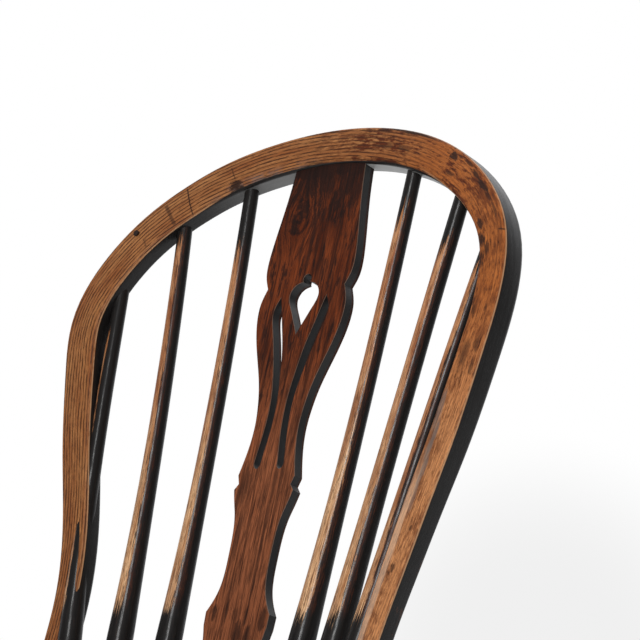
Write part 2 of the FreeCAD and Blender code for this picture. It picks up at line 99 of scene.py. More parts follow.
LOBE_UP, LOBE_RADIUS = 34.6, 4.1
SLOT_TOP, SLOT_LONG, SLOT_ROUND = 20.9, 131.2, 5.2
SLOT_STEPS, SLOT_ROUND_STEPS = 70, 8
CUTTER_THICK = 30.0
SLOT_OUTER = [(22.3, 21.0), (25.6, 14.6), (27.1, 8.0), (26.0, 0.8), (23.1, -8.5),
              (20.1, -18.5), (15.0, -38.5), (11.6, -57.0), (10.8, -70.0), (11.7, -87.0),
              (13.6, -102.5), (14.6, -109.8)]
SLOT_INNER = [(22.3, 21.0), (19.6, 13.0), (17.2, 4.0), (11.2, -17.5), (7.2, -38.5),
              (4.7, -58.5), (4.2, -71.0), (4.7, -84.0), (6.2, -98.0), (7.8, -110.6)]

# spindles: u and v at the top, u at the seat, girth, and how far the middle bends in u and w
SPINDLES = {"left_inner": (-81.5, 130.0, -62.5, 1.0, 2.0, -4.0),
            "right_inner": (80.8, 130.0, 57.5, 1.0, 1.4, -2.8),
            "left_middle": (-138.6, 100.0, -99.5, 1.0, 2.2, -4.0),
            "right_middle": (136.2, 100.0, 94.0, 1.0, -1.2, 0.0),
            "left_outer": (-179.9, 40.0, -131.0, 0.93, -4.5, 0.0),
            "right_outer": (173.6, 56.0, 121.0, 0.93, -2.1, 0.0)}
# half of how far round each is worn bare, in radians
SPINDLE_BARE = {"left_inner": 0.86, "right_inner": 0.90, "left_middle": 0.78,
                "right_middle": 0.80, "left_outer": 0.15, "right_outer": 0.55}
SPINDLE_TOP_BACK = 10.2
SPINDLE_SEAT_W, SPINDLE_SEAT_CURVE = -2.6, 17.4
SPINDLE_IN_SEAT = 22.0
SPINDLE_STEPS = 48
# radius at heights above the seat, up to the gap that is left before the top
SPINDLE_LAST_GAP = 8.0
SPINDLE_PROFILE = [(-24, 7.4), (-12, 7.3), (0, 7.6), (20, 8.8), (45, 9.8), (62, 9.9), (88, 9.2),
                   (118, 8.4), (150, 7.7), (195, 7.05), (255, 6.55), (330, 6.15), (400, 5.8),
                   (455, 5.6)]

# camera: from the photograph's perspective
CAMERA_AT = (1.0997, -1.09775, 0.60484)
CAMERA_TURN, CAMERA_TILT = math.radians(39.66), math.radians(4.41)
FRAME_PIXELS, FOCAL_PIXELS, SENSOR = 640, 2269.0, 36.0

# studio: where the lights point, each light's place, size in metres and power in watts, the
# bright wall behind the chair, the shaded lower right
LIT_PLACE = (0.0, 0.1, 0.7)
LIGHTS = {"key": ((0.75, -1.75, 1.55), (0.7, 1.5), 33.0),
          "top": ((-0.3, 0.6, 2.6), (1.8, 1.8), 20.0)}
BEHIND_WAY = Vector((-0.63, 0.76, 0.15)).normalized()
SHADED_WAY = Vector((-0.563, 0.828, -0.075)).normalized()


def back(u, v, w):
    """A point of the back's frame, given in millimetres, in the chair's frame."""
    return BACK_MIDDLE + (BACK_ACROSS * u + BACK_UP * v + BACK_FRONT * w) * MM


def smooth(t):
    """Slide from 0 to 1 with no corner at either end."""
    t = min(max(t, 0.0), 1.0)
    return t * t * (3 - 2 * t)


def hoop_front(u, v):
    """How far the hoop's face stands in front of the back's plane."""
    down = (v - HOOP_CROWN_V) / HOOP_CURVE_AT
    left = HOOP_LEFT_FORWARD * smooth((-u - HOOP_LEFT_FROM) / HOOP_LEFT_OVER)
    return HOOP_CURVE_ACROSS * (u / HOOP_CURVE_AT) ** 2 + HOOP_CURVE_DOWN * down ** 2 + left


def fair(pairs):
    """A function whose smooth graph runs through (x, y) pairs."""
    xs, ys = [p[0] for p in pairs], [p[1] for p in pairs]
    count = len(xs)
    low, mid, high, right = [0.0] * count, [1.0] * count, [0.0] * count, [0.0] * count
    for i in range(1, count - 1):
        before, after = xs[i] - xs[i - 1], xs[i + 1] - xs[i]
        low[i], mid[i], high[i] = before, 2 * (before + after), after
        right[i] = 6 * ((ys[i + 1] - ys[i]) / after - (ys[i] - ys[i - 1]) / before)
    for i in range(1, count):
        share = low[i] / mid[i - 1]
        mid[i] -= share * high[i - 1]
        right[i] -= share * right[i - 1]
    bend = [0.0] * count
    for i in range(count - 2, -1, -1):
        bend[i] = (right[i] - high[i] * bend[i + 1]) / mid[i]

    def at(x):
        i = max(k for k in range(count - 1) if xs[k] <= x or k == 0)
        span = xs[i + 1] - xs[i]
        b = (x - xs[i]) / span
        a = 1 - b
        return (a * ys[i] + b * ys[i + 1]
                + ((a ** 3 - a) * bend[i] + (b ** 3 - b) * bend[i + 1]) * span ** 2 / 6)
    return at


def fair_line(points):
    """A function of 0 to 1 along a smooth line through points, spaced by the chords."""
    knots = [0.0]
    for a, b in zip(points, points[1:]):
        knots.append(knots[-1] + math.dist(a, b))
    axes = [fair([(k, p[axis]) for k, p in zip(knots, points)]) for axis in range(2)]
    return lambda t: tuple(axis(t * knots[-1]) for axis in axes)


def outline(runs):
    """The points of one side of an outline, from its runs of smooth line between corners."""
    steps = []
    for run in runs:
        line = fair_line(run)
        count = 1 if len(run) == 2 else 6 * (len(run) - 1)
        steps += [line(i / count) for i in range(count)]
    steps.append(runs[-1][-1])
    return steps


# modelling
def alone(piece):
    """Select one piece and nothing else."""
    bpy.ops.object.select_all(action="DESELECT")
    piece.select_set(True)
    bpy.context.view_layer.objects.active = piece


def pick(piece, wanted):
    """Select the corners of a piece that a test accepts, and go on editing."""
    bpy.ops.object.mode_set(mode="OBJECT")
    for face in piece.data.polygons:
        face.select = False
    for edge in piece.data.edges:
        edge.select = False
    for corner in piece.data.vertices:
        corner.select = wanted(corner.co)
    bpy.ops.object.mode_set(mode="EDIT")
    bpy.ops.mesh.select_mode(type="VERT")


def new_piece(name):
    """Name the piece just added and select it alone."""
    piece = bpy.context.object
    piece.name = name
    piece.data.name = name
    alone(piece)
    return piece


def settle(piece, place=None):
    """Lay a piece in the chair and leave its object at the origin, unturned."""
    alone(piece)
    if place is not None:
        piece.matrix_world = place
    bpy.ops.object.transform_apply(location=True, rotation=True, scale=True)


def keep_grain(piece, in_wood):
    """Remember where each corner lies in the straight wood, before it is bent or laid."""
    mesh = piece.data
    layer = mesh.attributes.new("grain", "FLOAT_VECTOR", "POINT")
    for corner, value in zip(mesh.vertices, layer.data):
        value.vector = in_wood(corner.co)


def use_modifier(piece, kind, **settings):
    alone(piece)
    modifier = piece.modifiers.new(kind.title(), kind)
    for key, value in settings.items():
        setattr(modifier, key, value)
    bpy.ops.object.modifier_apply(modifier=modifier.name)


def tidy_normals(piece):
    alone(piece)
    bpy.ops.object.mode_set(mode="EDIT")
    bpy.ops.mesh.select_all(action="SELECT")
    bpy.ops.mesh.remove_doubles(threshold=0.00001)
    bpy.ops.mesh.normals_make_consistent(inside=False)
    bpy.ops.object.mode_set(mode="OBJECT")


def smooth_faces(piece, degrees):
    alone(piece)
    bpy.ops.object.shade_smooth_by_angle(angle=math.radians(degrees))


def ridden(piece, finish, slot, *nodes):
    """Finish a piece and fix it to the chair's one body in place of the drawing's nodes."""
    piece.data.materials.clear()
    piece.data.materials.append(finish)
    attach(piece, "root")
    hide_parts(*nodes)


def make_hoop():
    """The hoop as a straight bar, drawn out step by step, then bent round its line."""
    line = fair_line(HOOP_LINE)
    path = []
    for i in range(4 * HOOP_STEPS + 1):
        u, v = line(i / (4 * HOOP_STEPS))
        path.append(Vector((u, v, hoop_front(u, v))) * MM)
    long = sum((b - a).length for a, b in zip(path, path[1:]))
    width_at, depth_at = fair(HOOP_WIDTHS), fair(HOOP_DEPTHS)

    def size_at(t):
        return width_at(2 * t - 1) * MM, depth_at(2 * t - 1) * MM

    width, depth = size_at(0.5)
    bpy.ops.mesh.primitive_plane_add(size=1.0, rotation=(0, math.pi / 2, 0))
    bar = new_piece("hoop_visual")
    settle(bar)
    bpy.ops.object.mode_set(mode="EDIT")
    bpy.ops.mesh.select_all(action="SELECT")
    bpy.ops.transform.resize(value=(1, width, depth))
    bpy.ops.transform.translate(value=(0, 0, -depth / 2))
    pick(bar, lambda co: co.z > -depth / 2 and co.y > 0)
    bpy.ops.mesh.bevel(offset=HOOP_OUTER_ROUND * MM, segments=4, affect="VERTICES")
    pick(bar, lambda co: co.z > -depth / 2 and co.y < 0)
    bpy.ops.mesh.bevel(offset=HOOP_INNER_ROUND * MM, segments=6, affect="VERTICES")
    pick(bar, lambda co: co.z < -depth * 0.9)
    bpy.ops.mesh.bevel(offset=HOOP_BACK_ROUND * MM, segments=6, affect="VERTICES")
    bpy.ops.mesh.select_all(action="SELECT")
    for i in range(HOOP_STEPS + 1):
        if i:
            bpy.ops.mesh.extrude_region_move(
                TRANSFORM_OT_translate={"value": (long / HOOP_STEPS, 0, 0)})
        new_width, new_depth = size_at(i / HOOP_STEPS)
        bpy.ops.transform.resize(value=(1, new_width / width, new_depth / depth),
                                 center_override=(0, 0, 0))
        width, depth = new_width, new_depth
    bpy.ops.object.mode_set(mode="OBJECT")
    tidy_normals(bar)
    keep_grain(bar, lambda co: (co.x - long / 2, co.y, co.z))
    edge = bar.data.attributes.new("across", "FLOAT", "POINT")
    for corner, value in zip(bar.data.vertices, edge.data):
        value.value = 2 * corner.co.y / size_at(corner.co.x / long)[0]
    guide_line = bpy.data.curves.new("hoop_line", "CURVE")
    guide_line.dimensions = "3D"
    guide_line.twist_mode = "Z_UP"
    spline = guide_line.splines.new("POLY")
    spline.points.add(len(path) - 1)
    for point, spot in zip(spline.points, path):
        point.co = (*spot, 1)
    guide = bpy.data.objects.new("hoop_line", guide_line)
    bpy.context.collection.objects.link(guide)
    use_modifier(bar, "CURVE", object=guide, deform_axis="POS_X")
    bpy.data.objects.remove(guide)
    settle(bar, raked())
    smooth_faces(bar, 50)
    return bar


def make_tenon(side):
    """The round foot of the hoop, through the seat, its lower rim chamfered."""
    end = -1 if side > 0 else 0
    (u, v), depth = HOOP_LINE[end], HOOP_DEPTHS[end][1]
    low = back(u, v, hoop_front(u, v) - depth / 2)
    above = v + TENON_WAY_FROM
    way = (low - back(u, above, hoop_front(u, above) - depth / 2)).normalized()
    top = low - way * ((low.z - SEAT_TOP) / way.z)
    long = (SEAT_TOP - SEAT_UNDER) / abs(way.z) / MM
    word = "left" if side < 0 else "right"
    steps = [(-TENON_RADIUS, TENON_RADIUS), (0, TENON_RADIUS), (long / 2, TENON_RADIUS),
             (long - TENON_SHORT - TENON_CHAMFER, TENON_RADIUS),
             (long - TENON_SHORT, TENON_RADIUS - TENON_CHAMFER)]
    piece = turned("hoop_tenon_" + word + "_visual", steps)
    keep_grain(piece, lambda co: (co.z + side * TENON_GRAIN_AWAY, co.x,
                                  co.y - TENON_GRAIN_ASIDE))
    edge = piece.data.attributes.new("across", "FLOAT", "POINT")
    edge.data.foreach_set("value", [0.0] * len(piece.data.vertices))
    settle(piece, Matrix.Translation(top) @ way.to_track_quat("Z", "X").to_matrix().to_4x4())
    smooth_faces(piece, 40)
    return piece


def raked(lean=0.0, front=0.0):
    """Where a piece made lying flat, face up, stands in the raked frame of the back."""
    turn = Matrix.Rotation(math.pi / 2 - RAKE + math.atan(lean), 4, "X")
    return Matrix.Translation(back(0, 0, front)) @ turn


def ribbon(name, rows):
    """A flat shape drawn out row by row: each row is (height, left, right) in millimetres."""
    least = 0.02
    height, left, right = rows[0]
    bpy.ops.mesh.primitive_plane_add(size=1.0)
    shape = new_piece(name)
    bpy.ops.object.mode_set(mode="EDIT")
    bpy.ops.mesh.select_all(action="SELECT")
    low = rows[1][0]
    bpy.ops.transform.resize(value=(max(right - left, least) * MM, (height - low) * MM, 1))
    bpy.ops.transform.translate(value=((left + right) / 2 * MM, (height + low) / 2 * MM, 0))
    middle = (height + low) / 2 * MM
    pick(shape, lambda co: co.y < middle)
    old = (left, right)
    for step, (down, new_left, new_right) in enumerate(rows[1:]):
        if step:
            bpy.ops.mesh.extrude_region_move(
                TRANSFORM_OT_translate={"value": (0, (down - height) * MM, 0)})
        centre = (old[0] + old[1]) / 2 * MM
        ratio = max(new_right - new_left, least) / max(old[1] - old[0], least)
        bpy.ops.transform.resize(value=(ratio, 1, 1), center_override=(centre, 0, 0))
        move = ((new_left + new_right) - (old[0] + old[1])) / 2 * MM
        bpy.ops.transform.translate(value=(move, 0, 0))
        old, height = (new_left, new_right), down
    bpy.ops.mesh.select_all(action="SELECT")
    bpy.ops.mesh.dissolve_faces()
    bpy.ops.object.mode_set(mode="OBJECT")
    return shape


def thicken(shape, top, thick):
    """Lift a flat shape to a height and draw it down into a board."""
    alone(shape)
    bpy.ops.object.mode_set(mode="EDIT")
    bpy.ops.mesh.select_all(action="SELECT")
    bpy.ops.transform.translate(value=(0, 0, top))
    bpy.ops.mesh.extrude_region_move(TRANSFORM_OT_translate={"value": (0, 0, -thick)})
    bpy.ops.object.mode_set(mode="OBJECT")
    tidy_normals(shape)


def cut_out(board, tool):
    use_modifier(board, "BOOLEAN", object=tool, operation="DIFFERENCE", solver="EXACT")
    bpy.data.objects.remove(tool)


def sampled(points, count):
    line = fair_line(points)
    return [line(i / count) for i in range(count + 1)]


def across_at(line, v):
    """Where a falling line of (u, v) points crosses a height."""
    for (ua, va), (ub, vb) in zip(line, line[1:]):
        if va >= v >= vb:
            return ua + (ub - ua) * (va - v) / max(va - vb, 1e-9)
    return line[-1][0]


def make_splat():
    """The board sawn to its outline, shaved thinner towards its foot behind, and pierced."""
    rows = [(v, -u, u) for u, v in outline(SPLAT_RUNS)]
    board = ribbon("splat_visual", rows)
    thicken(board, 0.0, SPLAT_THICK * MM)
    slope = (SPLAT_THICK - SPLAT_FOOT_THICK) / (SPLAT_TOP + BACK_BELOW)
    bpy.ops.object.mode_set(mode="EDIT")
    bpy.ops.mesh.select_all(action="SELECT")
    bpy.ops.mesh.bisect(plane_co=(0, SPLAT_TOP * MM, -SPLAT_THICK * MM),
                        plane_no=(0, -slope, -1), use_fill=True, clear_outer=True)
    bpy.ops.object.mode_set(mode="OBJECT")
    tool_thick = CUTTER_THICK * MM
    drop = sampled(TEARDROP, 48)
    tear = ribbon("teardrop_tool", [(v, -u, u) for u, v in drop])
    thicken(tear, tool_thick / 2, tool_thick)
    cut_out(board, tear)
    bpy.ops.mesh.primitive_cylinder_add(vertices=40, radius=LOBE_RADIUS * MM,
                                        depth=tool_thick, location=(0, LOBE_UP * MM, 0))
    cut_out(board, new_piece("lobe_tool"))
    outer, inner = sampled(SLOT_OUTER, 60), sampled(SLOT_INNER, 60)
    heights = [SLOT_TOP - SLOT_LONG * (i / SLOT_STEPS) for i in range(SLOT_STEPS + 1)]
    for side in (1, -1):
        rows = []
        for v in heights:
            a, b = across_at(inner, v), across_at(outer, v)
            rows.append((v, a, b) if side > 0 else (v, -b, -a))
        foot_v, left, right = rows[-1]
        for i in range(1, SLOT_ROUND_STEPS + 1):
            turn = i / SLOT_ROUND_STEPS * math.pi / 2
            shrink = (right - left) / 2 * (1 - math.cos(turn) * 0.999)
            rows.append((foot_v - SLOT_ROUND * math.sin(turn), left + shrink, right - shrink))
        slot = ribbon("slot_tool", rows)
        thicken(slot, tool_thick / 2, tool_thick)
        cut_out(board, slot)
    use_modifier(board, "BEVEL", width=SPLAT_ARRIS * MM, segments=2, limit_method="ANGLE",
                 angle_limit=math.radians(50), use_clamp_overlap=True)
    tidy_normals(board)
    keep_grain(board, lambda co: (co.y, co.x, co.z))
    settle(board, raked(SPLAT_LEAN, SPLAT_FRONT))
    smooth_faces(board, 22)
    return board


def turned(name, profile, sides=32):
    """A piece turned about an upright axis, drawn up from a disc: profile of (height, radius)."""
    start, radius = profile[0]
    bpy.ops.mesh.primitive_circle_add(vertices=sides, radius=radius * MM, fill_type="NGON",
                                      location=(0, 0, start * MM))
    piece = new_piece(name)
    settle(piece)
    bpy.ops.object.mode_set(mode="EDIT")
    bpy.ops.mesh.select_all(action="SELECT")
    height = start
    for new_height, new_radius in profile[1:]:
        bpy.ops.mesh.extrude_region_move(
            TRANSFORM_OT_translate={"value": (0, 0, (new_height - height) * MM)})
        bpy.ops.transform.resize(value=(new_radius / radius, new_radius / radius, 1),
                                 center_override=(0, 0, 0))
        height, radius = new_height, new_radius
    bpy.ops.object.mode_set(mode="OBJECT")
    tidy_normals(piece)
    return piece


def make_spindle(name, order):
    """A round stick drawn up ring by ring, swollen low down and slightly bent."""
    top_u, top_v, seat_u, girth, bend_u, bend_w = SPINDLES[name]
    top = back(top_u, top_v, hoop_front(top_u, top_v) - SPINDLE_TOP_BACK)
    seat_w = SPINDLE_SEAT_W + SPINDLE_SEAT_CURVE * (seat_u / 100.0) ** 2
    seat = back(seat_u, -BACK_BELOW, seat_w)
    seat = seat + (top - seat) * ((SEAT_TOP - seat.z) / (top.z - seat.z))
    long = (top - seat).length / MM
    swell = fair([p for p in SPINDLE_PROFILE if p[0] < long - SPINDLE_LAST_GAP]
                 + [(long, SPINDLE_PROFILE[-1][1])])
    runs = [-SPINDLE_IN_SEAT + (long + SPINDLE_IN_SEAT) * i / SPINDLE_STEPS
            for i in range(SPINDLE_STEPS + 1)]
    piece = turned("spindle_" + name + "_visual", [(s, swell(s) * girth) for s in runs])
    keep_grain(piece, lambda co: (co.z, co.x, co.y))
    heights = [corner.co.z for corner in piece.data.vertices]
    for word, values in (("lot", [order * 1.7] * len(heights)),
                         ("bare", [SPINDLE_BARE[name]] * len(heights)),
                         ("below", [long * MM - z for z in heights])):
        piece.data.attributes.new(word, "FLOAT", "POINT").data.foreach_set("value", values)
    up = (top - seat).normalized()
    front = (BACK_FRONT - up * BACK_FRONT.dot(up)).normalized()
    bend = BACK_ACROSS * bend_u + BACK_FRONT * bend_w
    bend = Vector((bend.dot(front), bend.dot(up.cross(front)), 0)) * MM
    bow(piece, runs, long, bend)
    axes = Matrix((front, up.cross(front), up)).transposed().to_4x4()
    settle(piece, Matrix.Translation(seat) @ axes)
    smooth_faces(piece, 50)
    return piece


def bow(piece, runs, long, bend):
    """Push each ring of a stick sideways, most in the middle of its length."""
    for s in runs:
        t = s / long
        push = bend * (4 * t * (1 - max(t, 0.0)))
        pick(piece, lambda co: abs(co.z - s * MM) < 0.2 * MM)
        bpy.ops.transform.translate(value=push)
    bpy.ops.object.mode_set(mode="OBJECT")


# finishes
class Amount:
    """A number or colour that varies over a surface."""

    def __init__(self, finish, socket):
        self.finish = finish
        self.socket = socket

    def _math(self, operation, first, second):
        return self.finish.node("ShaderNodeMath", {"operation": operation},
                                {0: first, 1: second})

    def __add__(self, other):
        return self._math("ADD", self, other)

    def __radd__(self, other):
        return self._math("ADD", other, self)

    def __sub__(self, other):
        return self._math("SUBTRACT", self, other)

    def __rsub__(self, other):
        return self._math("SUBTRACT", other, self)

    def __mul__(self, other):
        return self._math("MULTIPLY", self, other)

    def __rmul__(self, other):
        return self._math("MULTIPLY", other, self)

    def __truediv__(self, other):
        return self._math("DIVIDE", self, other)

    def __pow__(self, other):
        return self._math("POWER", self, other)

    def __abs__(self):
        return self._math("ABSOLUTE", self, 0.0)


class Nodes:
    """The nodes of one material, or of the room's light."""

    def __init__(self, tree):
        self.tree = tree

    def node(self, kind, settings=None, inputs=None, out=0):
        """Add a node, set it up, join its inputs and give one of its outputs."""
        made = self.tree.nodes.new(kind)
        for key, value in (settings or {}).items():
            setattr(made, key, value)
        for key, value in (inputs or {}).items():
            if isinstance(value, Amount):
                self.tree.links.new(value.socket, made.inputs[key])
            else:
                made.inputs[key].default_value = value
        return Amount(self, made.outputs[out])

    def axes(self, vector):
        """The three numbers of a vector."""
        made = self.tree.nodes.new("ShaderNodeSeparateXYZ")
        self.tree.links.new(vector.socket, made.inputs[0])
        return [Amount(self, socket) for socket in made.outputs]

    def vector(self, x, y, z):
        return self.node("ShaderNodeCombineXYZ", None, {0: x, 1: y, 2: z})

    def stored(self, name, number=False):
        """What a piece's corners remember under a name, as a vector or as a number."""
        return self.node("ShaderNodeAttribute", {"attribute_name": name}, None,
                         "Fac" if number else "Vector")

    def noise(self, where, detail=3.0, rough=0.55):
        return self.node("ShaderNodeTexNoise", None,
                         {"Vector": where, "Scale": 1.0, "Detail": detail,
                          "Roughness": rough}, "Fac")

    def ease(self, value, low, high, first=0.0, last=1.0):
        """Slide from one number to another as a value goes from low to high."""
        return self.node("ShaderNodeMapRange", {"interpolation_type": "SMOOTHSTEP"},
                         {"Value": value, "From Min": low, "From Max": high,
                          "To Min": first, "To Max": last})

    def wave(self, value):
        return self.node("ShaderNodeMath", {"operation": "SINE"}, {0: value})

    def most(self, first, second):
        """The greater of two amounts."""
        return self.node("ShaderNodeMath", {"operation": "MAXIMUM"}, {0: first, 1: second})

    def tint(self, amount, first, second):
        """Go from one colour to another by an amount."""
        colours = [c if isinstance(c, Amount) else (*c, 1.0) for c in (first, second)]
        return self.node("ShaderNodeMix", {"data_type": "RGBA"},
                         {0: amount, 6: colours[0], 7: colours[1]}, 2)

    def facing(self, way, wanted):
        """How nearly a direction points the wanted way."""
        return self.node("ShaderNodeVectorMath", {"operation": "DOT_PRODUCT"},
                         {0: way, 1: tuple(wanted)}, "Value")


class Finish(Nodes):
    """A material and the marks on it."""

    def __init__(self, name):
        self.material = bpy.data.materials.new(name)
        self.material.use_nodes = True
        super().__init__(self.material.node_tree)
        self.shader = self.tree.nodes["Principled BSDF"]

    def streaks(self, wood, long, wide, seed=0.0, detail=2.0, rough=0.6):
        """Cloud drawn out along the grain, its marks about so many millimetres long and wide."""
        along, across, deep = wood
        return self.noise(self.vector(along * (1000 / long), across * (1000 / wide),
                                      deep * (1000 / wide) + seed), detail, rough)

    def stains(self, along, across, marks, ragged=0.0):
        """Spots: each has its place along and across, half length, half width, strength."""
        total = 0.0
        for at, side, long, wide, strength in marks:
            far = (((along - at * MM) / (long * MM)) ** 2
                   + ((across - side * MM) / (wide * MM)) ** 2)
            total = self.most(total, self.ease(far + ragged, 1.4, 0.4) * strength)
        return total

    def scores(self, along, across, marks):
        """Lines across the grain: each has its two ends, half width and strength."""
        total = 0.0
        for (at, side), (to, to_side), wide, strength in marks:
            slope = (to - at) / (to_side - side)
            off = abs(along - at * MM - (across - side * MM) * slope)
            middle, half = (side + to_side) / 2 * MM, abs(side - to_side) / 2 * MM
            on = self.ease(abs(across - middle), half * 1.08, half * 0.9)
            line = self.ease(off, wide * MM, wide * 0.35 * MM)
            total = self.most(total, line * on * strength)
        return total

    def dress(self, colour, rough, height=None, lift=0.0003, strength=0.4, coat=0.0,
              coat_rough=0.2, shine=0.5):
        """Give the material its colour, roughness, bumps and coat of polish."""
        inputs = self.shader.inputs
        self.tree.links.new(colour.socket, inputs["Base Color"])
        self.tree.links.new(rough.socket, inputs["Roughness"])
        inputs["Specular IOR Level"].default_value = shine
        if isinstance(coat, Amount):
            self.tree.links.new(coat.socket, inputs["Coat Weight"])
        else:
            inputs["Coat Weight"].default_value = coat
        inputs["Coat Roughness"].default_value = coat_rough
        if height is not None:
            bump = self.node("ShaderNodeBump", None,
                             {"Strength": strength, "Distance": lift, "Height": height})
            self.tree.links.new(bump.socket, inputs["Normal"])
        return self.material


BLACK_POLISH = (0.011, 0.0098, 0.0092)
TURN = 2 * math.pi
HOOP_RING = 0.0029

# stains and old polish on the hoop's face, in millimetres from the middle of its length
HOOP_STAINS = [
    (-91.7, -9.1, 6.5, 4.8, 1.0), (-10.7, -12.0, 11, 3.2, 0.5), (-0.1, 12.8, 6, 1.5, 0.75),
    (52.2, 12.0, 6, 1.5, 0.85), (82, 13.0, 25, 1.6, 1.0), (56.6, -0.7, 9, 1.8, 0.6),
    (77, -0.2, 7, 2.0, 0.65), (-9.8, 0.6, 4, 0.8, 0.55), (65.5, -12.2, 11, 1.3, 0.75),
    (130.5, 7.9, 4, 3.2, 1.0), (137.6, 10.7, 2.5, 1.4, 0.8), (148.6, 10.7, 5, 1.4, 0.85),
    (162, 8.5, 7, 2.0, 0.95), (173.9, 7.5, 7.5, 2.2, 1.0), (185.3, 6.4, 5, 1.5, 0.85),
    (199.1, 6.6, 6, 1.1, 0.6), (137.6, -3.9, 5, 1.5, 0.75), (127.8, -13.2, 6, 1.1, 0.75),
    (203.5, -6.9, 5, 2.6, 0.95), (218.6, -8.4, 6, 2.4, 1.0), (229.7, -4.0, 6.5, 2.0, 0.85),
    (236.5, -8.5, 7, 2.0, 0.95), (270.3, -8.4, 3, 1.8, 0.75), (273.9, 2.9, 3, 1.2, 0.65),
    (276.5, -6.5, 4, 1.6, 0.8), (285, -10.6, 9, 1.4, 0.85), (302.3, 4.9, 5, 2.2, 0.7),
    (309.9, -3.0, 10, 3.4, 0.6), (316.7, 6.4, 5, 1.6, 0.65), (435.8, 3.7, 2, 1.2, 0.8),
    (464.0, 0.5, 3.5, 1.4, 0.85), (469, -1.6, 2.2, 1.6, 0.85)]
HOOP_SCORES = [((-154.5, 10.5), (-155.4, -12.5), 2.3, 0.62),
               ((-134.1, 12), (-137.1, -14), 0.9, 0.9),
               ((-183.8, -2.1), (-186.4, -11), 1.0, 0.5),
               ((-93.6, 8), (-91.7, -3), 1.0, 0.6),
               ((219.4, 12), (216.8, 6.5), 0.9, 0.85)]
# grey smears where the polish was rubbed thin
HOOP_SMEARS = [(351, -8.0, 16, 2.6, 0.7), (374, -5.2, 17, 2.4, 0.8), (396, -3.6, 15, 2.0, 0.75),
               (416, -2.8, 14, 1.6, 0.5)]


